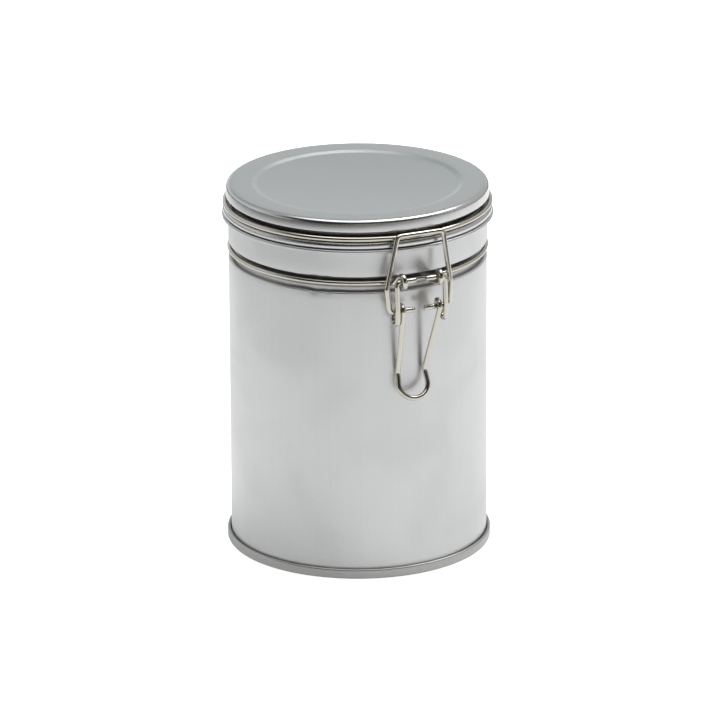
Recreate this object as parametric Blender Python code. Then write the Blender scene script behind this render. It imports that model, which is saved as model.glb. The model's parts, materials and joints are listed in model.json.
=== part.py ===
"""Food canister: a welded sheet-metal can with a clip-down lid held by bent wire.

Frame: +Z up, the can's axis on Z, the base standing on z = 0, the clasp on -Y, the lid hinge on +Y.
Lengths below are in millimetres; MM turns them into the scene's metres.
"""

import math

import bmesh
import bpy

MM = 0.001

# Driving dimensions
BODY_R = 49.5            # outside of the can's wall
SHEET = 0.4              # sheet thickness of the can, base and lid
FIT = 0.3                # clearance kept between neighbouring pieces
SEAM_GAP = 0.1           # clearance between the rolled layers of the base seam
STEPS = 36               # facets round every turned piece
WIRE_R = 1.0             # all the wire is 2 mm thick
PITCH = SHEET + SEAM_GAP  # spacing of those layers

# Heights
SEAM_TOP = 3.9
FLOOR_Z = 3.4            # middle of the base sheet, outer ring
SHOULDER_Z = 114.6       # middle of the sheet under the lower wire's groove
BODY_WIRE_Z = 118.3
NECK_EDGE_Z = 120.8      # middle of the sheet over that groove
RIM_Z = 132.0            # top of the can's curled rim
LID_EDGE_Z = 132.8       # lower edge of the lid
LID_SHELF_Z = 134.7      # middle of the sheet under the upper wire
LID_WIRE_Z = 136.1
SKIRT_EDGE_Z = 138.65    # middle of the sheet over that wire
LID_TOP_Z = 143.2

# Radii
NECK_R = 49.6
RIM_R = 51.9
BODY_WIRE_R = 49.0       # centre line of the lower hoop
LID_WIRE_R = 50.6        # centre line of the upper hoop
SKIRT_R = 50.4
EDGE_BEND = 1.1          # bend between the lid's top and its skirt
FLANGE_R = 51.5
FLANGE_BEND = 1.2        # bend between the shelf under the wire and the flange
PANEL_R = 39.0           # edge of the sunk panel on the lid
PANEL_DEPTH = 0.6
SEAT_X = 7.0             # half the straight front of the upper hoop

# Clasp and hinge: the same wire eyes stand out of the can at the front and at the back
EYE_X = 7.5
PIVOT_Y = 57.0
PIVOT_Z = 120.8
EYE_R = 2 * WIRE_R + FIT
EYE_STEPS = 8
LINK_X = 9.9             # lever links and lid legs, just outside the eyes
PIN_END_X = 1.9          # inner end of every pin
BAIL_PIN_Y = -55.6
BAIL_PIN_Z = 108.8
LOOP_DROP = 2.6          # length of the straight part of the loops round the bail pins
ARM_X = 7.6
KINK = (5.5, -51.0, 83.0)
LOOP_LEAN = -1.3         # the finger loop stands a little to one side
FINGER_X = 6.0
FINGER_TOP = (-53.0, 78.2)
FINGER_TIP = (-55.3, 73.2)
BAIL_FOOT_X = 12.25
BAIL_WIDE = (13.1, -55.0, 118.0)
BAIL_TOP = (9.45, -52.7, 137.25)
BAIL_LEAN = 1.8          # its top bar stands a little to the other side


def clear_scene():
    for thing in list(bpy.data.objects):
        bpy.data.objects.remove(thing, do_unlink=True)


def material(name, colour, roughness, metallic):
    """A Principled material with one colour."""
    mat = bpy.data.materials.new(name)
    mat.use_nodes = True
    shader = mat.node_tree.nodes["Principled BSDF"]
    shader.inputs["Base Color"].default_value = (*colour, 1.0)
    shader.inputs["Roughness"].default_value = roughness
    shader.inputs["Metallic"].default_value = metallic
    return mat


def arc(centre, radius, start, end, steps):
    """Points on an arc in the section plane, by angle in degrees from the outward direction."""
    points = []
    for i in range(steps + 1):
        angle = math.radians(start + (end - start) * i / steps)
        points.append((centre[0] + radius * math.cos(angle), centre[1] + radius * math.sin(angle)))
    return points


def sheet(middle):
    """Closed outline of a sheet whose middle line is given: each point moves half a sheet both ways."""
    left, right = [], []
    for i, point in enumerate(middle):
        before = middle[max(i - 1, 0)]
        after = middle[min(i + 1, len(middle) - 1)]
        first = (point[0] - before[0], point[1] - before[1]) if i else None
        second = (after[0] - point[0], after[1] - point[1]) if i < len(middle) - 1 else None
        first = first or second
        second = second or first
        n1 = (-first[1] / math.hypot(*first), first[0] / math.hypot(*first))
        n2 = (-second[1] / math.hypot(*second), second[0] / math.hypot(*second))
        mean = ((n1[0] + n2[0]) / 2, (n1[1] + n2[1]) / 2)
        scale = SHEET / 2 / (mean[0] ** 2 + mean[1] ** 2)
        left.append((point[0] + mean[0] * scale, point[1] + mean[1] * scale))
        right.append((point[0] - mean[0] * scale, point[1] - mean[1] * scale))
    return left + right[::-1]


def turned(name, outline, mat):
    """Spin a closed (radius, height) outline once round Z. An outline may start and end on the axis."""
    bm = bmesh.new()
    verts = [bm.verts.new((0.0, -max(r, 0.0) * MM, z * MM)) for r, z in outline]
    pairs = list(zip(verts, verts[1:]))
    if outline[0][0] > 1e-6:
        pairs.append((verts[-1], verts[0]))
    edges = [bm.edges.new(pair) for pair in pairs]
    bmesh.ops.spin(bm, geom=verts + edges, cent=(0, 0, 0), axis=(0, 0, 1), steps=STEPS,
                   angle=2 * math.pi, use_merge=True)
    bmesh.ops.remove_doubles(bm, verts=bm.verts, dist=0.001 * MM)
    bmesh.ops.recalc_face_normals(bm, faces=bm.faces)
    mesh = bpy.data.meshes.new(name)
    bm.to_mesh(mesh)
    bm.free()
    mesh.shade_smooth()
    mesh.set_sharp_from_angle(angle=math.radians(50))
    mesh.materials.append(mat)
    piece = bpy.data.objects.new(name, mesh)
    bpy.context.scene.collection.objects.link(piece)
    return piece


def rounded(points, radius, steps=3):
    """A route of straight runs whose corners are replaced by arcs of the given bend radius."""
    route = [points[0]]
    for before, corner, after in zip(points, points[1:], points[2:]):
        a = [p - q for p, q in zip(before, corner)]
        b = [p - q for p, q in zip(after, corner)]
        la, lb = math.hypot(*a), math.hypot(*b)
        a, b = [v / la for v in a], [v / lb for v in b]
        half = math.acos(max(-1.0, min(1.0, sum(p * q for p, q in zip(a, b))))) / 2
        if half > math.radians(86):
            route.append(corner)
            continue
        reach = min(radius / math.tan(half), 0.45 * la, 0.45 * lb)
        bend = reach * math.tan(half)
        middle = [p + q for p, q in zip(a, b)]
        length = math.hypot(*middle)
        centre = [c + m / length * bend / math.sin(half) for c, m in zip(corner, middle)]
        start = [c + p * reach - o for c, p, o in zip(corner, a, centre)]
        end = [c + p * reach - o for c, p, o in zip(corner, b, centre)]
        sweep = math.pi - 2 * half
        for i in range(steps + 1):
            s = math.sin(sweep * (1 - i / steps)) / math.sin(sweep)
            e = math.sin(sweep * i / steps) / math.sin(sweep)
            route.append(tuple(o + s * p + e * q for o, p, q in zip(centre, start, end)))
    route.append(points[-1])
    return route


def wire(name, route, mat, closed=False):
    """A round wire along a route, with flat ends unless it closes on itself."""
    curve = bpy.data.curves.new(name, "CURVE")
    curve.dimensions = "3D"
    curve.bevel_depth = WIRE_R * MM
    curve.bevel_resolution = 2
    curve.use_fill_caps = True
    spline = curve.splines.new("POLY")
    spline.points.add(len(route) - 1)
    for point, place in zip(spline.points, route):
        point.co = (place[0] * MM, place[1] * MM, place[2] * MM, 1.0)
    spline.use_cyclic_u = closed
    spline.use_smooth = True
    curve.materials.append(mat)
    piece = bpy.data.objects.new(name, curve)
    bpy.context.scene.collection.objects.link(piece)
    return piece


def mirror_x(route):
    """The same route on the other side of the clasp, in reverse order."""
    return [(-x, y, z) for x, y, z in reversed(route)]


def ring_route(radius, height, start, end):
    """Points of a hoop on the facets' corners, by angle in degrees from -Y towards +X."""
    step = 360 / STEPS
    first, last = math.ceil(start / step + 1e-6), math.floor(end / step - 1e-6)
    angles = [math.radians(step * i) for i in range(first, last + 1)]
    return [(radius * math.sin(a), -radius * math.cos(a), height) for a in angles]


def body_outline():
    """Section of the can's wall: seam hook, wall, shoulder, wide wire groove, neck and curled rim."""
    wall = BODY_R - SHEET / 2
    neck = NECK_R - SHEET / 2
    groove = BODY_WIRE_R - WIRE_R - FIT - SHEET / 2
    hook = [(wall + 2 * PITCH, SEAM_TOP - 1.0)] + arc((wall + PITCH, 1.65), PITCH, 0, -180, 4)
    shoulder = [(wall, SHOULDER_Z - 0.8), (wall - 0.3, SHOULDER_Z - 0.2), (wall - 0.9, SHOULDER_Z)]
    recess = [(groove + 0.5, SHOULDER_Z + 0.05), (groove + 0.1, SHOULDER_Z + 0.3), (groove, SHOULDER_Z + 0.7),
              (groove, NECK_EDGE_Z - 0.8), (groove + 0.2, NECK_EDGE_Z - 0.35)]
    edge = [(groove + 0.7, NECK_EDGE_Z - 0.1), (neck - 0.5, NECK_EDGE_Z), (neck - 0.15, NECK_EDGE_Z + 0.2),
            (neck, NECK_EDGE_Z + 0.7)]
    curl_r = 0.72
    curl = (RIM_R - SHEET / 2 - curl_r, RIM_Z - SHEET / 2 - curl_r)
    rim = [(neck, RIM_Z - 1.9), (neck + 0.1, RIM_Z - 1.1), (neck + 0.55, RIM_Z - 0.45)]
    return sheet(hook + shoulder + recess + edge + rim + arc(curl, curl_r, 90, -60, 4))


def base_outline():
    """Section of the base: seam hook, outer seam wall, standing edge, chuck wall and stepped panel."""
    hook = BODY_R + SEAM_GAP + SHEET / 2
    outer = hook + 2 * PITCH
    chuck = BODY_R - SHEET - SEAM_GAP - SHEET / 2
    top = SEAM_TOP - SHEET / 2
    line = [(hook, 1.6)] + arc((hook + PITCH, top - PITCH), PITCH, 180, 0, 4)
    line += arc((outer - PITCH, SHEET / 2 + PITCH), PITCH, 0, -90, 2)
    line += arc((chuck + PITCH, SHEET / 2 + PITCH), PITCH, -90, -180, 2)
    line += [(chuck, FLOOR_Z - 0.5), (chuck - 0.5, FLOOR_Z), (41.5, FLOOR_Z), (40.3, FLOOR_Z + 0.7),
             (0.0, FLOOR_Z + 0.7)]
    return on_axis(sheet(line))


def lid_outline():
    """Section of the lid: sunk panel, rolled edge, skirt, wire groove, flange and inward hem."""
    top = LID_TOP_Z - SHEET / 2
    skirt = SKIRT_R - SHEET / 2
    groove = LID_WIRE_R - WIRE_R - FIT - SHEET / 2
    flange = FLANGE_R - SHEET / 2
    line = [(0.0, top - PANEL_DEPTH), (PANEL_R - 0.7, top - PANEL_DEPTH),
            (PANEL_R + 0.8, top - PANEL_DEPTH / 2), (PANEL_R + 2.3, top)]
    line += arc((skirt - EDGE_BEND, top - EDGE_BEND), EDGE_BEND, 90, 0, 3)
    line += [(skirt, SKIRT_EDGE_Z + 0.6), (skirt - 0.15, SKIRT_EDGE_Z + 0.15), (skirt - 0.5, SKIRT_EDGE_Z),
             (groove + 0.3, SKIRT_EDGE_Z - 0.1), (groove, SKIRT_EDGE_Z - 0.5), (groove, LID_SHELF_Z + 0.6),
             (groove + 0.2, LID_SHELF_Z + 0.15)]
    line += arc((flange - FLANGE_BEND, LID_SHELF_Z - FLANGE_BEND), FLANGE_BEND, 90, 0, 3)
    line += [(flange, LID_EDGE_Z + 0.45), (flange - 0.25, LID_EDGE_Z + SHEET / 2),
             (flange - 0.6, LID_EDGE_Z + SHEET / 2)]
    return on_axis(sheet(line)[::-1])


def on_axis(outline):
    """Put the first and last point of an outline on the axis, starting at the one that ends there."""
    cut = max(range(len(outline)), key=lambda i: outline[i][0] < 1e-6 and outline[i - 1][0] < 1e-6)
    return outline[cut:] + outline[:cut]


def gasket_outline():
    """Section of the sealing ring: a flat ring on the rim with a lip held above the lid's hem."""
    low = RIM_Z + FIT
    high = LID_SHELF_Z - SHEET / 2 - FIT
    lip = LID_EDGE_Z + SHEET + FIT
    inner, body, outer = 48.7, 50.2, 50.6
    return [(inner, low), (body, low), (body, lip), (outer, lip), (outer, high - 0.4), (body, high - 0.1),
            (body - 0.5, high), (inner, high)]


def eye(side):
    """One hairpin eye, from the groove out round the pivot and back, on the -X half (side is -1 or 1)."""
    y, z = PIVOT_Y, PIVOT_Z
    edge_y = math.sqrt(BODY_WIRE_R ** 2 - EYE_X ** 2)
    bend = arc((y, z), EYE_R, 137, -90, EYE_STEPS)
    upper = [(-EYE_X - 1.3, edge_y, BODY_WIRE_Z), (-EYE_X - 1.3, edge_y + 3.3, BODY_WIRE_Z + 0.2)]
    lower = [(-EYE_X + 1.3, edge_y + 3.0, BODY_WIRE_Z), (-EYE_X + 1.3, edge_y + 0.5, BODY_WIRE_Z)]
    nose = [(-EYE_X - 0.3 + 0.6 * i / EYE_STEPS, py, pz) for i, (py, pz) in enumerate(bend)]
    route = rounded([(-EYE_X - 4.2, edge_y - 0.75, BODY_WIRE_Z)] + upper + [nose[0]], 1.5)[1:-1]
    route += nose
    route += rounded([nose[-1]] + lower + [(-2.6, BODY_WIRE_R - 0.07, BODY_WIRE_Z)], 1.5)[1:-1]
    return [(x, side * py, pz) for x, py, pz in route]


def body_hoop_route():
    """The lower hoop: one closed wire in the can's groove with two eyes in front and two behind."""
    front = eye(-1) + [(0.0, -BODY_WIRE_R, BODY_WIRE_Z)] + mirror_x(eye(-1))
    right = ring_route(BODY_WIRE_R, BODY_WIRE_Z, 13, 167)
    left = ring_route(BODY_WIRE_R, BODY_WIRE_Z, 193, 347)
    back = [(-x, y, z) for x, y, z in eye(1)] + [(0.0, BODY_WIRE_R, BODY_WIRE_Z)]
    back += [(x, y, z) for x, y, z in reversed(eye(1))]
    return front + right + back + left


def lid_hoop_route():
    """The upper hoop: a ring in the lid's groove with a straight seat for the bail, and hinge legs."""
    legs = [(-PIN_END_X, PIVOT_Y, PIVOT_Z), (-LINK_X, PIVOT_Y, PIVOT_Z),
            (-LINK_X, PIVOT_Y - 3.2, LID_WIRE_Z)]
    exit_angle = 180 + 16.5
    groove = ring_route(LID_WIRE_R, LID_WIRE_Z, exit_angle, 346)
    left = rounded(legs + [groove[0]], 1.5)[:-1] + groove
    seat = [(-SEAT_X, -LID_WIRE_R, LID_WIRE_Z)]
    half = left + seat
    return half + mirror_x(half)


def lever_route():
    """The lever: pins in the front eyes, links, loops round the bail pins, arms and finger loop."""
    front, back = BAIL_PIN_Y - EYE_R, BAIL_PIN_Y + EYE_R
    low = BAIL_PIN_Z - LOOP_DROP
    half_turn = 6
    turns = [(front, low)] + arc((BAIL_PIN_Y, low), EYE_R, -180, 0, half_turn)[1:]
    turns += arc((BAIL_PIN_Y, BAIL_PIN_Z), EYE_R, 0, 180, half_turn)
    link = rounded([(-PIN_END_X, -PIVOT_Y, PIVOT_Z), (-LINK_X, -PIVOT_Y, PIVOT_Z),
                    (-LINK_X, front, BAIL_PIN_Z + 1.0), (-LINK_X, front, low)], 1.5)[:-1]
    last = len(turns) - 1
    shift = [(LINK_X - ARM_X) * min(max(0, i - half_turn) / 3, 1) for i in range(last + 1)]
    loop = [(-LINK_X + dx, y, z) for dx, (y, z) in zip(shift, turns)]
    side = link + loop
    kink_x, kink_y, kink_z = KINK
    finger = []
    for i in range(11):
        angle = math.pi * i / 10
        reach = math.sin(angle)
        finger.append((LOOP_LEAN - FINGER_X * math.cos(angle),
                       FINGER_TOP[0] + (FINGER_TIP[0] - FINGER_TOP[0]) * reach,
                       FINGER_TOP[1] + (FINGER_TIP[1] - FINGER_TOP[1]) * reach))
    left = rounded([loop[-1], (LOOP_LEAN - kink_x, kink_y, kink_z), finger[0]], 3.0)[1:-1]
    other = mirror_x(side)
    right = rounded([finger[-1], (LOOP_LEAN + kink_x, kink_y, kink_z), other[0]], 3.0)[1:-1]
    return side + left + finger + right + other


def bail_route():
    """The bail: pins in the lever's loops, sides that spread and close again, and the top bar."""
    lower = [(-PIN_END_X, BAIL_PIN_Y, BAIL_PIN_Z), (-BAIL_FOOT_X, BAIL_PIN_Y, BAIL_PIN_Z),
             (-BAIL_WIDE[0], BAIL_WIDE[1], BAIL_WIDE[2])]
    bar = [(BAIL_LEAN + side * BAIL_TOP[0], BAIL_TOP[1], BAIL_TOP[2]) for side in (-1, 1)]
    return rounded(lower + bar + mirror_x(lower), 1.6)


def build():
    clear_scene()
    satin = material("satin_tinplate", (0.56, 0.58, 0.60), 0.38, 1.0)
    seamed = material("seamed_tinplate", (0.50, 0.51, 0.53), 0.30, 1.0)
    bright = material("bright_wire", (0.70, 0.68, 0.65), 0.12, 1.0)
    seal = material("seal_rubber", (0.10, 0.10, 0.10), 0.60, 0.0)
    turned("body_shell", body_outline(), satin)
    turned("base_end", base_outline(), seamed)
    turned("lid_shell", lid_outline(), satin)
    turned("lid_gasket", gasket_outline(), seal)
    wire("body_hoop", body_hoop_route(), bright, closed=True)
    wire("lid_hoop", lid_hoop_route(), bright)
    wire("lever", lever_route(), bright)
    wire("bail", bail_route(), bright)


build()
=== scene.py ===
# %% [markdown]
# # A clip-top food canister
#
# The real object is a welded can of thin satin tinplate. A seamed disc closes its base, and a pressed
# lid with a rubber ring closes its mouth. Two hoops of bright wire, one in a groove of the can and one
# in a groove of the lid, carry the hinge behind and the swing clasp in front.
#
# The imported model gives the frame: its joints, its boxes and its moving bodies. This lesson makes the
# fine surfaces that stand in for it, each one worked out with numpy from a few sizes in millimetres.

# %% Load the frame
import json
import math

import bpy
import numpy as np
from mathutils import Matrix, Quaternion, Vector


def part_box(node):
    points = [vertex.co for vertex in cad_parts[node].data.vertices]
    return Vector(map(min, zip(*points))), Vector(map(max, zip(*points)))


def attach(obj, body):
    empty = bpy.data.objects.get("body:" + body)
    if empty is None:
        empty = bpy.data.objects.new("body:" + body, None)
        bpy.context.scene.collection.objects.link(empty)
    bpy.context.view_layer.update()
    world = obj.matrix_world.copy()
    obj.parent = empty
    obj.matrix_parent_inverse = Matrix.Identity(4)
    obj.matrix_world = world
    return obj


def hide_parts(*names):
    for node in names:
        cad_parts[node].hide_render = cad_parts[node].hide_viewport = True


MM = 0.001
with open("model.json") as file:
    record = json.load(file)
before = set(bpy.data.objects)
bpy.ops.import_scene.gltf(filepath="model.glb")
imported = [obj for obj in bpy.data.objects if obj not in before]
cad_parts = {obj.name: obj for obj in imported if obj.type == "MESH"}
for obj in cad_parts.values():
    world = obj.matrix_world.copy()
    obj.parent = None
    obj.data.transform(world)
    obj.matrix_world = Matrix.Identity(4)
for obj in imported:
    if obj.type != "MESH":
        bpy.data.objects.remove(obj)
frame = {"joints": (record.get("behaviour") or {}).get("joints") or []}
scene = bpy.context.scene
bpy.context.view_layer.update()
pivot = {joint["name"]: np.array(joint["pos_m"]) / MM for joint in frame["joints"]}
print("pivots in mm:", {name: place.round(1).tolist() for name, place in pivot.items()})

# %% [markdown]
# ## The camera
#
# The canister is seen from a little above and from the left of its clasp, through a long lens, so
# the camera stands well back. A direction made of an azimuth and an elevation is easier to read than
# a rotation, and `to_track_quat` turns it into one.

# %% The camera
VIEW_AZIMUTH = math.radians(-24.5)
VIEW_ELEVATION = math.radians(19.17)
VIEW_ROLL = math.radians(-0.27)
VIEW_DISTANCE = 2400 * MM
LENS, SENSOR = 311.4, 36.0
AIM_RIGHT, AIM_HEIGHT = 0.66 * MM, 70.82 * MM

towards_camera = Vector((
    math.sin(VIEW_AZIMUTH) * math.cos(VIEW_ELEVATION),
    -math.cos(VIEW_AZIMUTH) * math.cos(VIEW_ELEVATION),
    math.sin(VIEW_ELEVATION),
))
camera_right = Vector((math.cos(VIEW_AZIMUTH), math.sin(VIEW_AZIMUTH), 0.0))
aim = camera_right * AIM_RIGHT + Vector((0.0, 0.0, AIM_HEIGHT))

camera = bpy.data.objects.new("camera", bpy.data.cameras.new("camera"))
scene.collection.objects.link(camera)
camera.data.sensor_width = SENSOR
camera.data.lens = LENS
camera.data.clip_end = 50.0
camera.location = aim + towards_camera * VIEW_DISTANCE
camera.rotation_mode = "QUATERNION"
camera.rotation_quaternion = (-towards_camera).to_track_quat("-Z", "Y") @ Quaternion((0, 0, 1), VIEW_ROLL)
scene.camera = camera
print("camera at", [round(v, 3) for v in camera.location])

# %% [markdown]
# ## From arrays to a mesh
#
# A surface here is a grid of points. Neighbouring rows and columns make four-sided faces, and the
# index arrays for all of them come from one slice of numpy, without a loop. Where the rows or the
# columns close on themselves, `np.roll` joins the last one to the first.
#
# The sum of the signed volumes of the tetrahedra under every face is positive when the faces look
# outwards, so the same sum tells whether to turn them, and how much metal the piece holds.

# %% Grid faces, volume and mesh
def grid_faces(rows, columns, close_rows=True, close_columns=True):
    """Corners of the faces between point (i, j) and (i + 1, j + 1) of a grid, with ends joined if asked."""
    index = np.arange(rows * columns).reshape(rows, columns)
    down, right = np.roll(index, -1, 0), np.roll(index, -1, 1)
    corner = np.roll(down, -1, 1)
    faces = np.stack([index, right, corner, down], -1)
    faces = faces[: None if close_rows else -1, : None if close_columns else -1]
    return faces.reshape(-1, 4)


def signed_volume(points, faces):
    """One sixth of the sum of a . (b x c) over the triangles (a, b, c) that fan out in each face."""
    total = 0.0
    for k in range(1, faces.shape[1] - 1):
        a, b, c = points[faces[:, 0]], points[faces[:, k]], points[faces[:, k + 1]]
        total += np.einsum("ij,ij->", a, np.cross(b, c)) / 6
    return total


def mesh_piece(name, points, face_sets, along=None):
    """A smooth mesh object from points in millimetres and arrays of faces, with its faces outwards."""
    volume = sum(signed_volume(points, faces) for faces in face_sets)
    if volume < 0:
        face_sets = [faces[:, ::-1] for faces in face_sets]
    mesh = bpy.data.meshes.new(name)
    mesh.vertices.add(len(points))
    mesh.vertices.foreach_set("co", (points * MM).astype(np.float32).ravel())
    corners = np.concatenate([faces.ravel() for faces in face_sets])
    sizes = np.concatenate([np.full(len(faces), faces.shape[1]) for faces in face_sets])
    mesh.loops.add(len(corners))
    mesh.loops.foreach_set("vertex_index", corners.astype(np.int32))
    mesh.polygons.add(len(sizes))
    mesh.polygons.foreach_set("loop_start", np.concatenate([[0], np.cumsum(sizes)[:-1]]).astype(np.int32))
    mesh.polygons.foreach_set("use_smooth", np.ones(len(sizes), dtype=bool))
    mesh.update(calc_edges=True)
    if along is not None:
        mesh.attributes.new("along", "FLOAT_VECTOR", "POINT").data.foreach_set(
            "vector", along.astype(np.float32).ravel())
    piece = bpy.data.objects.new(name, mesh)
    scene.collection.objects.link(piece)
    print(f"{name}: {len(sizes)} faces, {abs(volume) / 1000:.2f} cm3")
    return piece


# %% [markdown]
# ## Sheet metal in section
#
# Every turned piece is one strip of sheet, bent and then spun round the axis. So its section starts
# as a line down the middle of the sheet: a few corners, each with its own bend radius. The bends
# become arcs, and the line then grows half a sheet to each side, with round cut edges.

# %% A bent line and the sheet round it
SHEET = 0.30
ARC_STEP = math.radians(12)
FLAT = math.radians(89)


def bent_line(corners):
    """Corners (r, z, bend radius) joined by straight runs, with each corner replaced by its arc.

    The arc of a corner starts bend / tan(half the inner angle) before it, and turns through the
    angle between the two runs.
    """
    points = np.array([corner[:2] for corner in corners], dtype=float)
    line = [points[:1]]
    for before, here, after, bend in zip(points, points[1:], points[2:], [c[2] for c in corners[1:]]):
        a, b = before - here, after - here
        a, b = a / np.linalg.norm(a), b / np.linalg.norm(b)
        half = math.acos(np.clip(a @ b, -1, 1)) / 2
        if bend == 0 or half > FLAT:
            line.append(here[None])
            continue
        centre = here + (a + b) / np.linalg.norm(a + b) * bend / math.sin(half)
        start = here + a * bend / math.tan(half) - centre
        turn = math.pi - 2 * half
        t = np.linspace(0, turn, max(3, int(turn / ARC_STEP) + 2))[:, None]
        end = here + b * bend / math.tan(half) - centre
        line.append(centre + (np.sin(turn - t) * start + np.sin(t) * end) / math.sin(turn))
    line.append(points[-1:])
    return np.concatenate(line)


def resampled(line, step):
    """The same line with extra points, so that no straight run is longer than step."""
    length = np.linalg.norm(np.diff(line, axis=0), axis=1)
    pieces = [np.linspace(p, q, int(d / step) + 2)[:-1] for p, q, d in zip(line, line[1:], length)]
    return np.concatenate(pieces + [line[-1:]])


def sheet_section(line, thickness=SHEET, ends=(True, True)):
    """Closed outline of a sheet: the line shifted half a thickness along its normal, both ways.

    A round end is a half circle of the same half thickness about the line's last point.
    """
    tangent = np.gradient(line, axis=0)
    tangent /= np.linalg.norm(tangent, axis=1)[:, None]
    normal = np.stack([-tangent[:, 1], tangent[:, 0]], -1) * thickness / 2
    turn = np.radians([45, 90, 135])[:, None]
    last = line[-1] + normal[-1] * np.cos(turn) + tangent[-1] * thickness / 2 * np.sin(turn)
    first = line[0] - normal[0] * np.cos(turn) - tangent[0] * thickness / 2 * np.sin(turn)
    parts = [line + normal] + ([last] if ends[1] else []) + [(line - normal)[::-1]] + ([first] if ends[0] else [])
    return np.concatenate(parts)


# %% [markdown]
# ## Spinning a section
#
# A turned surface is (r sin a, -r cos a, z) over the section's points and the angle a, which starts at
# the clasp. A small change of radius or height may be added that depends on both: rolled metal is
# never quite true, and the can's weld stands up from its wall.

# %% Turned surface
ON_AXIS = 1e-6


def turned_piece(name, section, angles, change=None):
    """Spin a closed section (r, z) round the axis: x = r sin a, y = -r cos a, z.

    A section that starts and ends on the axis has one point at each pole, with triangles round it.
    """
    poles = section[0, 0] < ON_AXIS
    r, a = np.meshgrid(section[:, 0], angles)
    z = np.tile(section[:, 1], (len(angles), 1))
    if change is not None:
        r, z = change(r, z, a)
    pole_heights = z[0, 0], z[0, -1]
    body = section[1:-1] if poles else section
    if poles:
        r, z, a = r[:, 1:-1], z[:, 1:-1], a[:, 1:-1]
    points = np.stack([r * np.sin(a), -r * np.cos(a), z], -1).reshape(-1, 3)
    quads = grid_faces(len(angles), len(body), close_columns=not poles)
    if not poles:
        return mesh_piece(name, points, [quads])
    first = np.arange(len(angles)) * len(body)
    last = first + len(body) - 1
    top, bottom = len(points), len(points) + 1
    points = np.concatenate([points, [[0, 0, height] for height in pole_heights]])
    fan_top = np.stack([first, np.roll(first, -1), np.full_like(first, top)], -1)
    fan_bottom = np.stack([np.roll(last, -1), last, np.full_like(last, bottom)], -1)
    return mesh_piece(name, points, [quads, fan_top, fan_bottom])


ROUND_STEPS = 240
ROUND = np.linspace(0, 2 * math.pi, ROUND_STEPS + 1)[:-1]
print("one step round is", 360 / ROUND_STEPS, "degrees")


def ripple(a, seed, waves=(3, 5, 9, 14)):
    """A sum of a few cosines of whole numbers of waves, so that it closes, with its largest value 1."""
    phase = np.random.default_rng(seed).uniform(0, 2 * math.pi, len(waves))
    total = sum(np.cos(n * a + p) / math.sqrt(n) for n, p in zip(waves, phase))
    return total / sum(1 / math.sqrt(n) for n in waves)


def bump(x, centre, width):
    """A smooth hill of height 1: exp(-((x - centre) / width) squared)."""
    return np.exp(-((x - centre) / width) ** 2)


# %% [markdown]
# ## The can's wall
#
# A blank of tinplate is rolled up and welded, then a die presses the groove for the lower wire and
# curls the rim outwards. At the bottom the wall is hooked into the base seam. The weld is a narrow,
# slightly raised line up the back. The groove's edges carry a few small nicks where the wire was
# pulled tight, so the angles are closer together there, and at the weld.
#
# The groove is half a millimetre deeper than the wire needs, since its shadow is what draws the dark
# line above the wire.

# %% Heights and radii of the can
BODY_R = 49.5
NECK_R = 49.6
RIM_R = 51.9
RIM_Z = 132.0
BODY_WIRE_Z = 118.3
BODY_WIRE_R = 49.0
SEAM_TOP = 3.9
SEAM_R = 51.0
WALL = BODY_R - SHEET / 2
NECK = NECK_R - SHEET / 2
GROOVE = 47.3
LAYER = 0.5

cad_can = np.array(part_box("body_shell")[1]) / MM
print("CAD can: radius", round(cad_can[0], 2), "rim at", round(cad_can[2], 2), "mm")

# %% The can's section
SHOULDER_Z = 114.65
NECK_EDGE_Z = 120.85
WALL_CORNERS = [
    (WALL + 2 * LAYER, 2.9, 0), (WALL + 2 * LAYER, 1.15, 0.48), (WALL, 1.15, 0.48),
    (WALL, SHOULDER_Z, 0.55), (GROOVE, SHOULDER_Z + 0.1, 0.35), (GROOVE, NECK_EDGE_Z - 0.1, 0.35),
    (NECK, NECK_EDGE_Z, 0.35),
    (NECK, RIM_Z - 1.0, 0.5), (NECK + 0.6, RIM_Z - SHEET / 2, 0.4),
    (RIM_R - SHEET / 2, RIM_Z - SHEET / 2, 0.55), (RIM_R - SHEET / 2, RIM_Z - 1.35, 0.5),
    (RIM_R - 1.0, RIM_Z - 1.35, 0),
]
wall_line = resampled(bent_line(WALL_CORNERS), 3.0)


WELD_HEIGHT, WELD_HALF = 0.12, 0.5
EDGE_WAVE, EDGE_REACH = 0.06, 0.45
NICKS = ((316, 2.8, 0.40), (322, 1.8, 0.28), (308, 2.0, -0.12))  # angle, width in degrees, depth


def can_change(r, z, a):
    """Weld: a ridge of 0.12 mm at the back. Groove edges: up and down by a ripple and a few small nicks."""
    weld = WELD_HEIGHT * bump((a - math.pi) * BODY_R, 0, WELD_HALF)
    low_edge, high_edge = bump(z, SHOULDER_Z, EDGE_REACH), bump(z, NECK_EDGE_Z, EDGE_REACH)
    wave = EDGE_WAVE * ripple(a, 3, waves=(5, 11, 19, 31))
    nicks = sum(depth * bump(np.degrees(a), place, width) for place, width, depth in NICKS)
    return r + weld, z + wave * (high_edge + low_edge) + nicks * (0.7 * high_edge - low_edge)


weld_angles = math.pi + np.linspace(-2.4, 2.4, 13) / BODY_R
nick_angles = np.radians(np.arange(302, 334, 0.75))
angles = np.unique(np.concatenate([ROUND, weld_angles, nick_angles]).round(6))
can_wall = turned_piece("can_wall", sheet_section(wall_line), angles, can_change)
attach(can_wall, "canister")
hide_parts("body_shell")

# %% [markdown]
# ## The base
#
# The end is a stamped disc. Its rim is folded round the wall's hook into a double seam, which is what
# the can stands on, and which leaves the disc a few millimetres above the table. Two steps in the disc
# let it flex when the seam is rolled tight. The rolled seam's outside is a little uneven.

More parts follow.
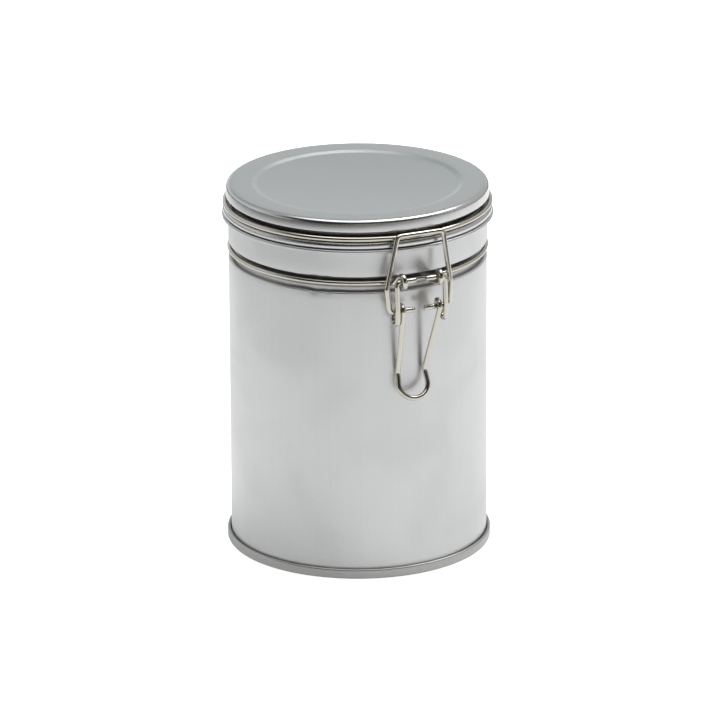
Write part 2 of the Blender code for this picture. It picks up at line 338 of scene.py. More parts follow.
# %% The base disc
CHUCK = WALL - LAYER
HOOK = WALL + LAYER
BASE_CORNERS = [
    (HOOK, 1.7, 0), (HOOK, SEAM_TOP - SHEET / 2, 0.5), (SEAM_R - SHEET / 2, SEAM_TOP - SHEET / 2, 0.55),
    (SEAM_R - SHEET / 2, SHEET / 2, 0.6), (CHUCK, SHEET / 2, 0.6), (CHUCK, 3.45, 0.6),
    (44.0, 3.45, 1.0), (43.2, 2.95, 0.8), (41.2, 2.95, 0.8), (39.8, 4.05, 1.0), (33.5, 4.05, 1.0),
    (32.5, 3.75, 1.0), (0.0, 3.75, 0),
]
base_line = resampled(bent_line(BASE_CORNERS), 4.0)


LAP_HEIGHT, LAP_HALF = 0.10, 1.6
ROLLER_WAVE = 0.06


def seam_change(r, z, a):
    """Outside of the seam: the roller's ripple of 0.06 mm, and a 0.1 mm lap where the wall's weld passes."""
    outside = np.clip((r - HOOK - 0.5) / 0.4, 0, 1)
    lap = LAP_HEIGHT * bump((a - math.pi) * BODY_R, 0, LAP_HALF)
    return r + outside * (ROLLER_WAVE * ripple(a, 8, waves=(7, 13, 29, 43)) + lap), z


base_section = sheet_section(base_line, ends=(True, False))
start = int(np.argmin(base_section[:, 0]))
while base_section[start - 1, 0] < ON_AXIS:
    start -= 1
base_disc = turned_piece("base_disc", np.roll(base_section, -start - 1, axis=0), angles, seam_change)
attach(base_disc, "canister")
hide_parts("base_end")

# %% [markdown]
# ## The lid
#
# One pressing again: a sunk panel with soft shoulders, a rolled edge, a tall skirt with a little
# draft, the groove that the upper wire sits in, and a flange whose edge is hemmed inwards to keep the
# rubber ring in place. Pressed panels are never flat: this one sinks towards its middle, and that is
# what makes its reflection grade softly from the back to the front.

# %% The lid
LID_TOP = 143.2
LID_WIRE_Z = 136.1
LID_WIRE_R = 50.6
LID_EDGE = 132.4
LID_SHELF = 134.75
SKIRT_EDGE = 138.6
SKIRT = 50.4 - SHEET / 2
DRAFT = 0.30
LID_GROOVE = 48.3
FLANGE = 51.5 - SHEET / 2
PANEL_DEPTH = 0.7
PANEL_R = 38.0
DISH = 0.80
RIM_WAVE = 0.03
TOP = LID_TOP - SHEET / 2
LID_CORNERS = [
    (0.0, TOP - PANEL_DEPTH, 0), (PANEL_R + 0.4, TOP - PANEL_DEPTH, 1.4), (PANEL_R + 2.4, TOP, 1.4),
    (SKIRT - DRAFT, TOP, 1.5), (SKIRT, SKIRT_EDGE, 0.45), (LID_GROOVE, SKIRT_EDGE - 0.1, 0.4),
    (LID_GROOVE, LID_SHELF, 0.4), (FLANGE, LID_SHELF, 1.25),
    (FLANGE, LID_EDGE + SHEET / 2, 0.35), (FLANGE - 0.8, LID_EDGE + SHEET / 2, 0),
]
lid_line = resampled(bent_line(LID_CORNERS), 2.5)


def lid_change(r, z, a):
    """The skirt and flange are 0.03 mm out of true, and the panel is 0.8 mm lower at its middle."""
    rim = np.clip((r - 47.0) / 3.0, 0, 1)
    dish = DISH * np.clip(1 - (r / PANEL_R) ** 2, 0, 1)
    return r + rim * RIM_WAVE * ripple(a, 21), z - dish


lid_section = sheet_section(lid_line, ends=(False, True))
lid_pressing = turned_piece("lid_pressing", lid_section, ROUND, lid_change)
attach(lid_pressing, "lid")
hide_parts("lid_shell")

# %% [markdown]
# ## The sealing ring
#
# A moulded rubber ring lies on the rim and is held up by the lid's hem. Its section is a small shape
# with round corners, closed by the same bent line, so only the corners need naming.

# %% The rubber ring
RING_CORNERS = [
    (49.4, RIM_Z + 0.12, 0), (50.25, RIM_Z + 0.12, 0.25), (50.25, 133.35, 0.2), (50.75, 133.35, 0.2),
    (50.75, 133.85, 0.2), (50.1, 134.35, 0.3), (48.75, 134.35, 0.3), (48.75, RIM_Z + 0.12, 0.35),
    (49.4, RIM_Z + 0.12, 0),
]
ring_section = bent_line(RING_CORNERS)[:-1]
seal_ring = turned_piece("seal_ring", ring_section, ROUND)
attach(seal_ring, "lid")
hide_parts("lid_gasket")

# %% [markdown]
# ## Bent wire
#
# All four wire pieces are the same 2 mm wire. Each path is a list of the places where the wire is
# bent. As with the sheet, the corners become arcs, here in space. The path is then cut into equal
# steps and softened a little, because a bend made on a peg starts and ends gradually.
#
# A tube needs a frame at each step that doesn't twist. Any frame will do to begin with: the angle
# that it turns between two steps is measured, and the running sum of those angles is taken away.

# %% Paths and tubes
WIRE_R = 1.0
WIRE_STEP = 0.35
SIDES = 20
END_ROUND = 0.3
NEARLY_STRAIGHT = math.radians(87)
PER_CM = 10


def bent_path(places, bend):
    """Places in space joined by straight runs, with an arc of the bend radius at each corner."""
    places = [np.array(place, dtype=float) for place in places]
    path = [places[0][None]]
    for before, here, after in zip(places, places[1:], places[2:]):
        a, b = before - here, after - here
        la, lb = np.linalg.norm(a), np.linalg.norm(b)
        a, b = a / la, b / lb
        half = math.acos(np.clip(a @ b, -1, 1)) / 2
        if half > NEARLY_STRAIGHT:
            path.append(here[None])
            continue
        reach = min(bend / math.tan(half), 0.48 * la, 0.48 * lb)
        radius = reach * math.tan(half)
        centre = here + (a + b) / np.linalg.norm(a + b) * radius / math.sin(half)
        turn = math.pi - 2 * half
        t = np.linspace(0, turn, 12)[:, None]
        start, end = here + a * reach - centre, here + b * reach - centre
        path.append(centre + (np.sin(turn - t) * start + np.sin(t) * end) / math.sin(turn))
    path.append(places[-1][None])
    return np.concatenate(path)


def even_path(path, closed=False, soften=2):
    """The path cut into equal steps by its length, then each point averaged with its neighbours."""
    if closed:
        path = np.concatenate([path, path[:1]])
    s = np.concatenate([[0], np.cumsum(np.linalg.norm(np.diff(path, axis=0), axis=1))])
    count = int(s[-1] / WIRE_STEP)
    t = np.linspace(0, s[-1], count + 1)
    even = np.stack([np.interp(t, s, path[:, k]) for k in range(3)], -1)
    even = even[:-1] if closed else even
    for _ in range(soften):
        mean = (np.roll(even, 1, 0) + even * 2 + np.roll(even, -1, 0)) / 4
        if not closed:
            mean[0], mean[-1] = even[0], even[-1]
        even = mean
    return even


def wire_piece(name, path, closed=False):
    """Tube of circles round a path: point + radius (cos u side + sin u other) in untwisted frames."""
    if closed:
        tangent = np.roll(path, -1, 0) - np.roll(path, 1, 0)
    else:
        tangent = np.gradient(path, axis=0)
    tangent /= np.linalg.norm(tangent, axis=1)[:, None]
    guide = np.eye(3)[np.argmin(np.abs(tangent), axis=1)]
    side = np.cross(tangent, guide)
    side /= np.linalg.norm(side, axis=1)[:, None]
    other = np.cross(tangent, side)
    ahead = side[:-1] - (side[:-1] * tangent[1:]).sum(1)[:, None] * tangent[1:]
    twist = np.arctan2((ahead * other[1:]).sum(1), (ahead * side[1:]).sum(1))
    twist = np.concatenate([[0], np.cumsum(twist)])
    if closed:
        back = side[-1] - (side[-1] @ tangent[0]) * tangent[0]
        gap = twist[-1] + math.atan2(back @ other[0], back @ side[0])
        twist -= np.linspace(0, 1, len(path)) * (gap - 2 * math.pi * round(gap / (2 * math.pi)))
    s = np.concatenate([[0], np.cumsum(np.linalg.norm(np.diff(path, axis=0), axis=1))])
    radius = np.full(len(path), WIRE_R)
    if not closed:
        near_end = np.minimum(s, s[-1] - s)
        radius = WIRE_R - END_ROUND * np.clip(1 - near_end / WIRE_STEP, 0, 1) ** 2
    around = np.linspace(0, 2 * math.pi, SIDES, endpoint=False)
    u = around[None, :] + twist[:, None]
    ring = np.cos(u)[..., None] * side[:, None] + np.sin(u)[..., None] * other[:, None]
    points = (path[:, None] + ring * radius[:, None, None]).reshape(-1, 3)
    along = np.stack([np.tile(np.cos(around), (len(path), 1)), np.tile(np.sin(around), (len(path), 1)),
                      np.tile(s[:, None] / PER_CM, (1, SIDES))], -1).reshape(-1, 3)
    faces = [grid_faces(len(path), SIDES, close_rows=closed)]
    if not closed:
        first = np.arange(SIDES)
        last = first + (len(path) - 1) * SIDES
        caps = np.stack([np.roll(first, -1), first, np.full(SIDES, len(points))], -1)
        ends = np.stack([last, np.roll(last, -1), np.full(SIDES, len(points) + 1)], -1)
        points = np.concatenate([points, path[[0, -1]]])
        along = np.concatenate([along, [[0, 0, 0], [0, 0, s[-1] / PER_CM]]])
        faces += [caps, ends]
    piece = mesh_piece(name, points, faces, along)
    print(f"  {s[-1]:.0f} mm of wire")
    return piece


def across(path):
    """The same path mirrored to the other side of the clasp, and run backwards."""
    return path[::-1] * np.array([-1.0, 1.0, 1.0])


def arc_yz(x, centre, radius, start, end, count):
    """An arc in the plane of the can's side view, with x running evenly between two values."""
    t = np.radians(np.linspace(start, end, count))
    return np.stack([np.linspace(x[0], x[1], count), centre[0] + radius * np.cos(t),
                     centre[1] + radius * np.sin(t)], -1)


def hoop_arc(radius, height, start, end):
    """Part of a hoop: radius (sin a, -cos a) at one height, in steps of 2 degrees."""
    a = np.radians(np.arange(start, end, 2.0))
    return np.stack([radius * np.sin(a), -radius * np.cos(a), np.full(len(a), height)], -1)


# %% [markdown]
# ## The lower hoop
#
# The lower hoop lies in the can's groove. Twice in front and twice behind it leaves the groove, turns
# round in a hairpin and comes back, and these four eyes carry the pins of the lever and of the lid.

# %% The lower hoop
EYE_X = 7.5
EYE_R = 2.25
PIVOT_Y, PIVOT_Z = pivot["lid_hinge"][1], pivot["lid_hinge"][2]


def hoop_eye(side):
    """The eye on the -X half: out of the groove, round the pivot from above, and back below it."""
    y0 = math.sqrt(BODY_WIRE_R ** 2 - EYE_X ** 2)
    z = BODY_WIRE_Z
    nose = arc_yz((-EYE_X - 0.3, -EYE_X + 0.3), (PIVOT_Y, PIVOT_Z), EYE_R, 137, -90, 24)
    out = bent_path([(-EYE_X - 5.0, y0 - 0.95, z), (-EYE_X - 1.3, y0, z), (-EYE_X - 1.3, y0 + 3.3, z + 0.2),
                     nose[0]], 1.5)[1:-1]
    back = bent_path([nose[-1], (-EYE_X + 1.3, y0 + 3.0, z), (-EYE_X + 1.3, y0 + 0.45, z),
                      (-2.2, BODY_WIRE_R - 0.04, z)], 1.5)[1:-1]
    return np.concatenate([out, nose, back]) * np.array([1, side, 1])


front_eye, back_eye = hoop_eye(-1), hoop_eye(1)
lower_path = np.concatenate([
    front_eye, [[0, -BODY_WIRE_R, BODY_WIRE_Z]], across(front_eye),
    hoop_arc(BODY_WIRE_R, BODY_WIRE_Z, 16, 165),
    across(back_eye)[::-1], [[0, BODY_WIRE_R, BODY_WIRE_Z]], back_eye[::-1],
    hoop_arc(BODY_WIRE_R, BODY_WIRE_Z, 196, 345),
])
lower_hoop = wire_piece("lower_hoop", even_path(lower_path, closed=True), closed=True)
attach(lower_hoop, "canister")
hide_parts("body_hoop")

# %% [markdown]
# ## The upper hoop
#
# The upper hoop lies in the lid's groove. Its front is straight for a short way, as a seat for the
# clasp's bar, and behind it leaves the groove, drops and ends in two pins, which turn in the rear eyes.

# %% The upper hoop
PIN_END_X = 1.9
LINK_X = 9.9
SEAT_X = 7.0
legs = bent_path([(-PIN_END_X, PIVOT_Y, PIVOT_Z), (-LINK_X, PIVOT_Y, PIVOT_Z),
                  (-LINK_X, PIVOT_Y - 3.2, LID_WIRE_Z), (-17.31, 47.55, LID_WIRE_Z)], 1.5)[:-1]
upper_left = np.concatenate([
    legs, hoop_arc(LID_WIRE_R, LID_WIRE_Z, 200, 343),
    bent_path([(-15.6, -48.1, LID_WIRE_Z), (-SEAT_X, -LID_WIRE_R, LID_WIRE_Z), (0, -LID_WIRE_R, LID_WIRE_Z)], 3)[1:],
])
upper_path = np.concatenate([upper_left, across(upper_left)[1:]])
upper_hoop = wire_piece("upper_hoop", even_path(upper_path))
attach(upper_hoop, "lid")
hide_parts("lid_hoop")

# %% [markdown]
# ## The lever
#
# One wire again. From its pins in the front eyes it runs down as two links, turns up and over into a
# loop round each end of the bail, and runs down as two arms that lean in to a finger loop. The finger
# loop bends away from the can and stands a little to one side, as on the real one.

# %% The lever
BAIL_Y, BAIL_Z = pivot["bail_pivot"][1], pivot["bail_pivot"][2]
ARM_X = 7.6
LOOP_DROP = 2.6
KINK = (5.5, -51.0, 83.0)
LEAN = -1.3
FINGER_X = 6.0
FINGER_TOP = np.array([-53.0, 78.2])
FINGER_TIP = np.array([-55.3, 73.2])

loop_low = BAIL_Z - LOOP_DROP
bottom_turn = arc_yz((-LINK_X, -LINK_X), (BAIL_Y, loop_low), EYE_R, -180, 0, 20)
back_run = np.array([[-LINK_X + 0.9, BAIL_Y + EYE_R, (loop_low + BAIL_Z) / 2]])
top_turn = arc_yz((-LINK_X + 1.6, -ARM_X), (BAIL_Y, BAIL_Z), EYE_R, 0, 180, 20)
top_turn[:, 0] = -LINK_X + 1.5 + (LINK_X - ARM_X - 1.5) * np.clip(np.linspace(0, 2.2, 20), 0, 1)
link = bent_path([(-PIN_END_X, -PIVOT_Y, PIVOT_Z), (-LINK_X, -PIVOT_Y, PIVOT_Z),
                  (-LINK_X, BAIL_Y - EYE_R, BAIL_Z + 1.0), (-LINK_X, BAIL_Y - EYE_R, loop_low)], 1.5)[:-1]
lever_side = np.concatenate([link, bottom_turn, back_run, top_turn])

sweep = np.linspace(0, math.pi, 40)
reach = np.sin(sweep)[:, None]
finger_loop = np.concatenate([(LEAN - FINGER_X * np.cos(sweep))[:, None],
                              FINGER_TOP + (FINGER_TIP - FINGER_TOP) * reach], axis=1)
left_arm = bent_path([lever_side[-1], (LEAN - KINK[0], *KINK[1:]), finger_loop[0]], 3.0)[1:-1]
right_arm = bent_path([finger_loop[-1], (LEAN + KINK[0], *KINK[1:]), across(lever_side)[0]], 3.0)[1:-1]
lever_path = np.concatenate([lever_side, left_arm, finger_loop, right_arm, across(lever_side)])
lever_wire = wire_piece("lever_wire", even_path(lever_path))
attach(lever_wire, "lever")
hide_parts("lever")

# %% [markdown]
# ## The bail
#
# The bail hangs in the lever's loops by its two pins and hooks over the upper hoop. Its sides spread
# outside the links and close again towards the top bar.

# %% The bail
BAIL_TOP = np.array([9.45, -52.7, 137.25])
BAIL_LEAN = 1.8
bail_foot = [(-PIN_END_X, BAIL_Y, BAIL_Z), (-12.25, BAIL_Y, BAIL_Z), (-13.1, -55.0, 118.0)]
bar = [(BAIL_LEAN + side * BAIL_TOP[0], BAIL_TOP[1], BAIL_TOP[2]) for side in (-1, 1)]
bail_places = bail_foot + bar + [(-x, y, z) for x, y, z in reversed(bail_foot)]
bail_wire = wire_piece("bail_wire", even_path(bent_path(bail_places, 1.6)))
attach(bail_wire, "bail")
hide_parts("bail")

# %% [markdown]
# ## Shared effects
#
# Rolled tinplate has a fine grain in one direction, and every handled metal has faint smudges and a
# few hairline scratches. Painted shade darkens the grooves round the wires, where the wire and the
# groove's edges shade the metal. More than one finish needs these, so each effect is a node group with
# named inputs, built once. A group gives out only masks and values, which the finishes then mix.

# %% Node helpers
def new_group(name, inputs, outputs):
    """An empty shader node group with named inputs (name, type, default) and named float outputs."""
    tree = bpy.data.node_groups.new(name, "ShaderNodeTree")
    for label, kind, value in inputs:
        socket = tree.interface.new_socket(label, in_out="INPUT", socket_type=kind)
        socket.default_value = value
    for label in outputs:
        tree.interface.new_socket(label, in_out="OUTPUT", socket_type="NodeSocketFloat")
    return tree, tree.nodes.new("NodeGroupInput"), tree.nodes.new("NodeGroupOutput")


def add(tree, kind, links=None, **settings):
    """A new node with its settings, and with links given as {input name or number: value or socket}."""
    node = tree.nodes.new(kind)
    for key, value in settings.items():
        setattr(node, key, value)
    for key, value in (links or {}).items():
        if isinstance(value, bpy.types.NodeSocket):
            tree.links.new(value, node.inputs[key])
        else:
            node.inputs[key].default_value = value
    return node


def maths(tree, operation, a, b=0.0, clamp=False):
    """One Math node, as its output socket."""
    return add(tree, "ShaderNodeMath", {0: a, 1: b}, operation=operation, use_clamp=clamp).outputs[0]


def less(tree, value, mask, amount):
    """value - amount x mask, as an output socket."""
    return maths(tree, "SUBTRACT", value, maths(tree, "MULTIPLY", mask, amount))


def axis_distance(tree, place):
    """Two sockets: the distance from the can's axis and the height, in metres."""
    flat = add(tree, "ShaderNodeVectorMath", {0: place, 1: (1, 1, 0)}, operation="MULTIPLY").outputs[0]
    radius = add(tree, "ShaderNodeVectorMath", {0: flat}, operation="LENGTH").outputs["Value"]
    return radius, add(tree, "ShaderNodeSeparateXYZ", {0: place}).outputs[2]


# %% Grain, smudges, scratches and painted groove shade
def grain_group():
    """Noise on stretched coordinates: lines along the direction in which the stretch is small."""
    tree, given, out = new_group("rolled grain", [
        ("Vector", "NodeSocketVector", (0, 0, 0)), ("Stretch", "NodeSocketVector", (1, 1, 1))], ["Grain"])
    stretched = add(tree, "ShaderNodeVectorMath", {0: given.outputs["Vector"], 1: given.outputs["Stretch"]},
                    operation="MULTIPLY").outputs[0]
    fine = add(tree, "ShaderNodeTexNoise", {"Vector": stretched, "Scale": 1.0, "Detail": 4.0, "Roughness": 0.65})
    coarse = add(tree, "ShaderNodeTexNoise", {"Vector": stretched, "Scale": 0.17, "Detail": 2.0})
    total = maths(tree, "ADD", maths(tree, "MULTIPLY", fine.outputs["Fac"], 0.6),
                  maths(tree, "MULTIPLY", coarse.outputs["Fac"], 0.4))
    tree.links.new(total, out.inputs["Grain"])
    return tree


def smudge_group():
    """Soft clouds: large noise with a smooth threshold, from 0 on clean metal to 1 where it was touched."""
    tree, given, out = new_group("handling smudges", [
        ("Vector", "NodeSocketVector", (0, 0, 0)), ("Scale", "NodeSocketFloat", 30.0)], ["Smudge"])
    cloud = add(tree, "ShaderNodeTexNoise", {"Vector": given.outputs["Vector"], "Scale": given.outputs["Scale"],
                                             "Detail": 3.0, "Distortion": 0.6})
    mask = add(tree, "ShaderNodeMapRange", {"Value": cloud.outputs["Fac"], "From Min": 0.42, "From Max": 0.68},
               interpolation_type="SMOOTHSTEP")
    tree.links.new(mask.outputs[0], out.inputs["Smudge"])
    return tree


def scratch_group():
    """Hairlines: where a bent noise passes through its middle value, thinned out by a second noise."""
    tree, given, out = new_group("hairline scratches", [
        ("Vector", "NodeSocketVector", (0, 0, 0)), ("Scale", "NodeSocketFloat", 60.0)], ["Scratch"])
    noise = add(tree, "ShaderNodeTexNoise", {"Vector": given.outputs["Vector"], "Scale": given.outputs["Scale"],
                                             "Detail": 1.0, "Distortion": 2.5})
    distance = maths(tree, "ABSOLUTE", maths(tree, "SUBTRACT", noise.outputs["Fac"], 0.5))
    line = add(tree, "ShaderNodeMapRange", {"Value": distance, "From Min": 0.0, "From Max": 0.006,
                                            "To Min": 1.0, "To Max": 0.0})
    some = add(tree, "ShaderNodeTexNoise", {"Vector": given.outputs["Vector"], "Scale": 45.0, "Detail": 2.0})
    few = add(tree, "ShaderNodeMapRange", {"Value": some.outputs["Fac"], "From Min": 0.56, "From Max": 0.66})
    tree.links.new(maths(tree, "MULTIPLY", line.outputs[0], few.outputs[0]), out.inputs["Scratch"])
    return tree


GROOVE_SHADE_FADE = 0.4 * MM


def groove_shade_group():
    """Painted shade in a groove: 1 nearer to the axis than Radius and between two heights, fading over 0.4 mm."""
    tree, given, out = new_group("painted groove shade", [
        ("Vector", "NodeSocketVector", (0, 0, 0)), ("Radius", "NodeSocketFloat", 0.05),
        ("Low", "NodeSocketFloat", 0.0), ("High", "NodeSocketFloat", 0.1)], ["Grime"])
    radius, height = axis_distance(tree, given.outputs["Vector"])
    mask = 1.0
    for value, name, side in ((radius, "Radius", -1), (height, "High", -1), (height, "Low", 1)):
        depth = maths(tree, "MULTIPLY", maths(tree, "SUBTRACT", value, given.outputs[name]), side / GROOVE_SHADE_FADE)
        mask = maths(tree, "MULTIPLY", mask, maths(tree, "ADD", depth, 0.0, clamp=True))
    tree.links.new(mask, out.inputs["Grime"])
    return tree


GRAIN, SMUDGE, SCRATCH, GROOVE_SHADE = grain_group(), smudge_group(), scratch_group(), groove_shade_group()
print("node groups:", [group.name for group in bpy.data.node_groups])

# %% [markdown]
# ## Finishes
#
# A metal finish starts from a colour and a roughness. The grain lightens and darkens the colour by a
# few hundredths and gives a very low bump, smudges make it duller, and scratches brighter. The masks
# reach the shader through plain sums, so each finish can weigh them as it needs.

# %% Masks of the weld and of the rolled edge
WELD_CORE, WELD_EDGE = 0.6 * MM, 1.1 * MM
WELD_DARKER, WELD_SMOOTHER = 0.28, 0.12


def outer_mask(tree, place, start, end):
    """Mask of the rolled edges: 0 inside the first distance from the axis, 1 outside the second, in mm."""
    radius, _ = axis_distance(tree, place)
    return add(tree, "ShaderNodeMapRange", {"Value": radius, "From Min": start * MM, "From Max": end * MM}).outputs[0]


def weld_stripe(tree, place):
    """Mask of the weld: 1 where y > 20 mm and |x| < 0.6 mm, fading to 0 where |x| is 1.1 mm."""
    parts = add(tree, "ShaderNodeSeparateXYZ", {0: place})
    off = maths(tree, "ABSOLUTE", parts.outputs[0])
    near = add(tree, "ShaderNodeMapRange", {"Value": off, "From Min": WELD_CORE, "From Max": WELD_EDGE,
                                            "To Min": 1.0, "To Max": 0.0}).outputs[0]
    return maths(tree, "MULTIPLY", near, maths(tree, "GREATER_THAN", parts.outputs[1], 0.02))


# %% A metal finish
def metal(name, colour, roughness, stretch, grain=0.04, smudge=0.05, scratch=0.05, relief=0.02,
          coordinates="Object", cloud=30.0, weld=False, burnished=None, painted_shade=None):
    """Colour x (1 + grain lines), roughness + smudges, and a bump of the grain.

    weld adds the weld's stripe, burnished = (start, end, amount) takes roughness away at the outer radii, and
    grime = (radius, low, high, amount) darkens a groove's colour as painted shade.
    """
    mat = bpy.data.materials.new(name)
    mat.use_nodes = True
    tree = mat.node_tree
    shader = tree.nodes["Principled BSDF"]
    shader.inputs["Metallic"].default_value = 1.0
    if coordinates == "Object":
        place = add(tree, "ShaderNodeTexCoord").outputs["Object"]
    else:
        place = add(tree, "ShaderNodeAttribute", attribute_name=coordinates).outputs["Vector"]
    lines = add(tree, "ShaderNodeGroup", node_tree=GRAIN)
    clouds = add(tree, "ShaderNodeGroup", node_tree=SMUDGE)
    hairs = add(tree, "ShaderNodeGroup", node_tree=SCRATCH)
    for group in (lines, clouds, hairs):
        tree.links.new(place, group.inputs["Vector"])
    lines.inputs["Stretch"].default_value = stretch
    clouds.inputs["Scale"].default_value = cloud
    signed = maths(tree, "SUBTRACT", lines.outputs["Grain"], 0.5)
    level = maths(tree, "ADD", maths(tree, "MULTIPLY", signed, 2 * grain), 1.0)
    level = less(tree, level, clouds.outputs["Smudge"], smudge * 0.5)
    level = maths(tree, "ADD", level, maths(tree, "MULTIPLY", hairs.outputs["Scratch"], scratch))
    rough = maths(tree, "ADD", maths(tree, "MULTIPLY", signed, grain), roughness)
    rough = maths(tree, "ADD", rough, maths(tree, "MULTIPLY", clouds.outputs["Smudge"], smudge))
    if weld:
        stripe = weld_stripe(tree, place)
        level = less(tree, level, stripe, WELD_DARKER)
        rough = less(tree, rough, stripe, WELD_SMOOTHER)
    if burnished:
        rough = less(tree, rough, outer_mask(tree, place, *burnished[:2]), burnished[2])
    # Painted shade: the colour is darker in the groove round the wire, where the wire and the groove's edges shade
    # it.
    if painted_shade:
        shade_mask = add(tree, "ShaderNodeGroup", {"Vector": place, "Radius": painted_shade[0] * MM, "Low": painted_shade[1] * MM,
                                             "High": painted_shade[2] * MM}, node_tree=GROOVE_SHADE).outputs[0]
        level = maths(tree, "MULTIPLY", level, less(tree, 1.0, shade_mask, painted_shade[3]))
    tint = add(tree, "ShaderNodeVectorMath", {0: colour, 3: level}, operation="SCALE").outputs[0]
    tree.links.new(tint, shader.inputs["Base Color"])
    tree.links.new(rough, shader.inputs["Roughness"])
    height = maths(tree, "ADD", lines.outputs["Grain"], maths(tree, "MULTIPLY", hairs.outputs["Scratch"], -0.5))
    relief_node = add(tree, "ShaderNodeBump", {"Height": height, "Strength": 1.0, "Distance": relief * MM})
    tree.links.new(relief_node.outputs[0], shader.inputs["Normal"])
    return mat


# %% The finishes of the canister
# The wall and the lid get painted shade in their grooves round the wires: (radius, low, high, amount).
satin_wall = metal("satin tinplate wall", (0.60, 0.604, 0.608), 0.34, (900, 900, 9), weld=True,
                   painted_shade=(49.35, 116.0, 121.0, 0.6))
satin_lid = metal("satin tinplate lid", (0.60, 0.604, 0.606), 0.33, (1100, 14, 200), grain=0.03, relief=0.005,
                  burnished=(47.0, 49.0, 0.13), painted_shade=(50.7, 134.2, 138.7, 0.60))
seamed_edge = metal("rolled base seam", (0.45, 0.45, 0.44), 0.36, (300, 300, 60), grain=0.05)
bright_wire = metal("bright nickel wire", (0.58, 0.555, 0.492), 0.09, (9, 9, 1.2), grain=0.05,
                    smudge=0.06, scratch=0.03, relief=0.004, coordinates="along", cloud=2.0)


def rubber(name):
    """Matt dark rubber, its darkness partly painted shade for the gap under the lid's hem: grey from 0.02 to 0.05 by
    soft clouds, with a fine moulded tooth.
    """
    mat = bpy.data.materials.new(name)
    mat.use_nodes = True
    tree = mat.node_tree
    shader = tree.nodes["Principled BSDF"]
    place = add(tree, "ShaderNodeTexCoord").outputs["Object"]
    dust = add(tree, "ShaderNodeGroup", {"Vector": place, "Scale": 160.0}, node_tree=SMUDGE)
    # Very dark grey: partly the rubber's own colour, partly painted shade for the gap under the lid's hem.
    tone = add(tree, "ShaderNodeMix", {"Factor": dust.outputs[0], "A": (0.020, 0.020, 0.019, 1),
                                       "B": (0.052, 0.050, 0.047, 1)}, data_type="RGBA")
    tooth = add(tree, "ShaderNodeTexNoise", {"Vector": place, "Scale": 2500.0, "Detail": 2.0})
    relief = add(tree, "ShaderNodeBump", {"Height": tooth.outputs["Fac"], "Strength": 0.5, "Distance": 0.03 * MM})
    tree.links.new(tone.outputs["Result"], shader.inputs["Base Color"])
    tree.links.new(relief.outputs[0], shader.inputs["Normal"])
    shader.inputs["Roughness"].default_value = 0.62
    return mat


rubber_and_gap_shade = rubber("seal rubber and painted gap shade")
for piece, finish, slot in (
    (can_wall, satin_wall, "satin_tinplate"), (base_disc, seamed_edge, "seamed_tinplate"),
    (lid_pressing, satin_lid, "satin_tinplate"), (seal_ring, rubber_and_gap_shade, "seal_rubber"),
    (lower_hoop, bright_wire, "bright_wire"), (upper_hoop, bright_wire, "bright_wire"),
    (lever_wire, bright_wire, "bright_wire"), (bail_wire, bright_wire, "bright_wire"),
):
    piece.data.materials.append(finish)
    print(f"{piece.name}: {finish.name}")

# %% [markdown]
# ## The studio
#
# Polished metal shows the room, so the room is what gives the wires their lines. A white table lights
# the upright walls, since they are seen from above. The room in front is dark above the table, and
# that is the dark line in every wire. The ceiling is bright and draws the light line round the lid's
# edge, and the back wall, which the lid shows, is a cool grey that is paler low down.
#
# The table is paper white for the camera alone, and the masks of the room are all smooth steps, so
# that no hard edge shows in the satin walls.

# %% Table
def floor_disc(radius, height, sides=64):
    """A flat round table: one ring of points and their middle."""
    a = np.linspace(0, 2 * math.pi, sides, endpoint=False)
    ring = np.stack([radius * np.cos(a), radius * np.sin(a), np.full(sides, height)], -1)
    points = np.concatenate([ring, [[0, 0, height]]])
    first = np.arange(sides)
    mesh = bpy.data.meshes.new("table")
    mesh.from_pydata(points.tolist(), [], np.stack([first, np.roll(first, -1), np.full(sides, sides)], -1).tolist())
    table = bpy.data.objects.new("table", mesh)
    scene.collection.objects.link(table)
    return table


table = floor_disc(6.0, -0.1 * MM)


CAMERA_GLOW, PAPER_GLOW = 0.55, 0.27
TABLE_OFFSET, TABLE_NEAR, TABLE_FAR = 0.25, 0.60, 1.20


def white_table(name, centre, near, far):
    """White paper for the camera. In reflections it ends softly between two distances, in the dark room."""
    mat = bpy.data.materials.new(name)
    mat.use_nodes = True
    tree = mat.node_tree
    shader = tree.nodes["Principled BSDF"]
    place = add(tree, "ShaderNodeTexCoord").outputs["Object"]
    distance = add(tree, "ShaderNodeVectorMath", {0: place, 1: centre}, operation="DISTANCE").outputs["Value"]
    edge = add(tree, "ShaderNodeMapRange", {"Value": distance, "From Min": near, "From Max": far},
               interpolation_type="SMOOTHSTEP").outputs[0]
    camera_ray = add(tree, "ShaderNodeLightPath").outputs["Is Camera Ray"]
    dark = maths(tree, "MULTIPLY", edge, maths(tree, "SUBTRACT", 1.0, camera_ray))
    tone = add(tree, "ShaderNodeMix", {"Factor": dark, "A": (0.82, 0.82, 0.82, 1), "B": (0.07, 0.065, 0.06, 1)},
               data_type="RGBA").outputs["Result"]
    seen = maths(tree, "ADD", maths(tree, "MULTIPLY", camera_ray, CAMERA_GLOW), PAPER_GLOW)
    glow = maths(tree, "MULTIPLY", seen, less(tree, 1.0, dark, 0.9))
    tree.links.new(tone, shader.inputs["Base Color"])
    tree.links.new(glow, shader.inputs["Emission Color"])
    shader.inputs["Emission Strength"].default_value = 1.0
    shader.inputs["Roughness"].default_value = 0.9
    shader.inputs["Specular IOR Level"].default_value = 0.0
    return mat


table_side = VIEW_AZIMUTH + math.radians(95)
table_centre = (TABLE_OFFSET * math.sin(table_side), -TABLE_OFFSET * math.cos(table_side), 0.0)
table.data.materials.append(white_table("white table", table_centre, TABLE_NEAR, TABLE_FAR))
print("table laid, the middle of its white part", TABLE_OFFSET, "m to the right")

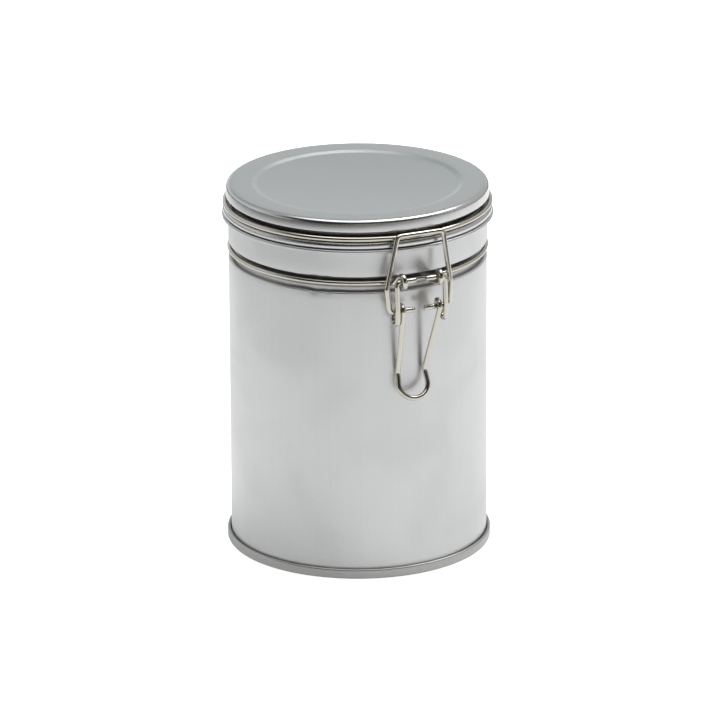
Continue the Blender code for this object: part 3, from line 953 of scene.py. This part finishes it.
# %% Room
world = bpy.data.worlds.new("studio")
scene.world = world
world.use_nodes = True
room = world.node_tree
room.nodes.clear()
direction = add(room, "ShaderNodeTexCoord").outputs["Generated"]
upward = add(room, "ShaderNodeSeparateXYZ", {0: direction}).outputs["Z"]


def towards(azimuth, start, end):
    """Mask of the room around a horizontal direction, turned from the camera's: 0 at start, 1 at end."""
    turn = VIEW_AZIMUTH + math.radians(azimuth)
    side = (math.sin(turn), -math.cos(turn), 0.0)
    facing = add(room, "ShaderNodeVectorMath", {0: direction, 1: side}, operation="DOT_PRODUCT").outputs["Value"]
    return add(room, "ShaderNodeMapRange", {"Value": facing, "From Min": start, "From Max": end},
               interpolation_type="SMOOTHSTEP").outputs[0]


def painted(under, mask, colour):
    """The room's colour with another one laid over it where the mask is 1."""
    return add(room, "ShaderNodeMix", {"Factor": mask, "A": under, "B": (*colour, 1)},
               data_type="RGBA").outputs["Result"]


def above(start, end):
    """Mask of the room by the sine of the elevation: 0 at start, 1 at end."""
    return add(room, "ShaderNodeMapRange", {"Value": upward, "From Min": start, "From Max": end},
               interpolation_type="SMOOTHSTEP").outputs[0]


studio = painted((0.96, 1.02, 1.02, 1), above(0.0, 0.5), (0.40, 0.44, 0.44))
unlit = maths(room, "MULTIPLY", towards(0, -0.15, 0.40), above(0.14, 0.42))
for mask, colour in (
    (towards(0, -0.1, 0.6), (0.34, 0.33, 0.31)),      # the front, near the table
    (towards(-44, 0.62, 0.93), (0.02, 0.02, 0.02)),   # a dark doorway in front on the left
    (towards(-100, 0.55, 0.90), (0.78, 0.78, 0.77)),  # left wall
    (towards(110, 0.10, 0.75), (0.56, 0.56, 0.55)),   # right wall
    (unlit, (0.04, 0.036, 0.03)),                     # the dark room in front, above the table
    (above(0.84, 0.95), (2.2, 2.2, 2.2)),             # ceiling
):
    studio = painted(studio, mask, colour)
seen = add(room, "ShaderNodeLightPath").outputs["Is Camera Ray"]
shown = add(room, "ShaderNodeMix", {"Factor": seen, "A": studio, "B": (1.0, 1.0, 1.0, 1)},
            data_type="RGBA").outputs["Result"]
background = add(room, "ShaderNodeBackground", {"Color": shown, "Strength": 1.0})
room.links.new(background.outputs[0], add(room, "ShaderNodeOutputWorld").inputs["Surface"])
scene.view_settings.view_transform = "Standard"
print("room lit")

# %% [markdown]
# ## The key light
#
# One soft light stands high on the right. It lays the canister's own shadow on the table to the left,
# and the wall shows it as the darker tone near its left foot. It also throws the clasp's thin shadows.

# %% Key light
def softbox(name, place, size, power, aim_at=(0, 0, 0.07)):
    """A square area light at a place in metres, turned to face a point of the canister."""
    light = bpy.data.lights.new(name, "AREA")
    light.shape = "SQUARE"
    light.size = size
    light.energy = power
    box = bpy.data.objects.new(name, light)
    box.location = place
    box.rotation_mode = "QUATERNION"
    box.rotation_quaternion = (Vector(aim_at) - Vector(place)).to_track_quat("-Z", "Y")
    scene.collection.objects.link(box)


softbox("key_softbox", (0.70, 0.16, 1.45), 0.8, 11)
print("lights:", [light.name for light in bpy.data.lights])
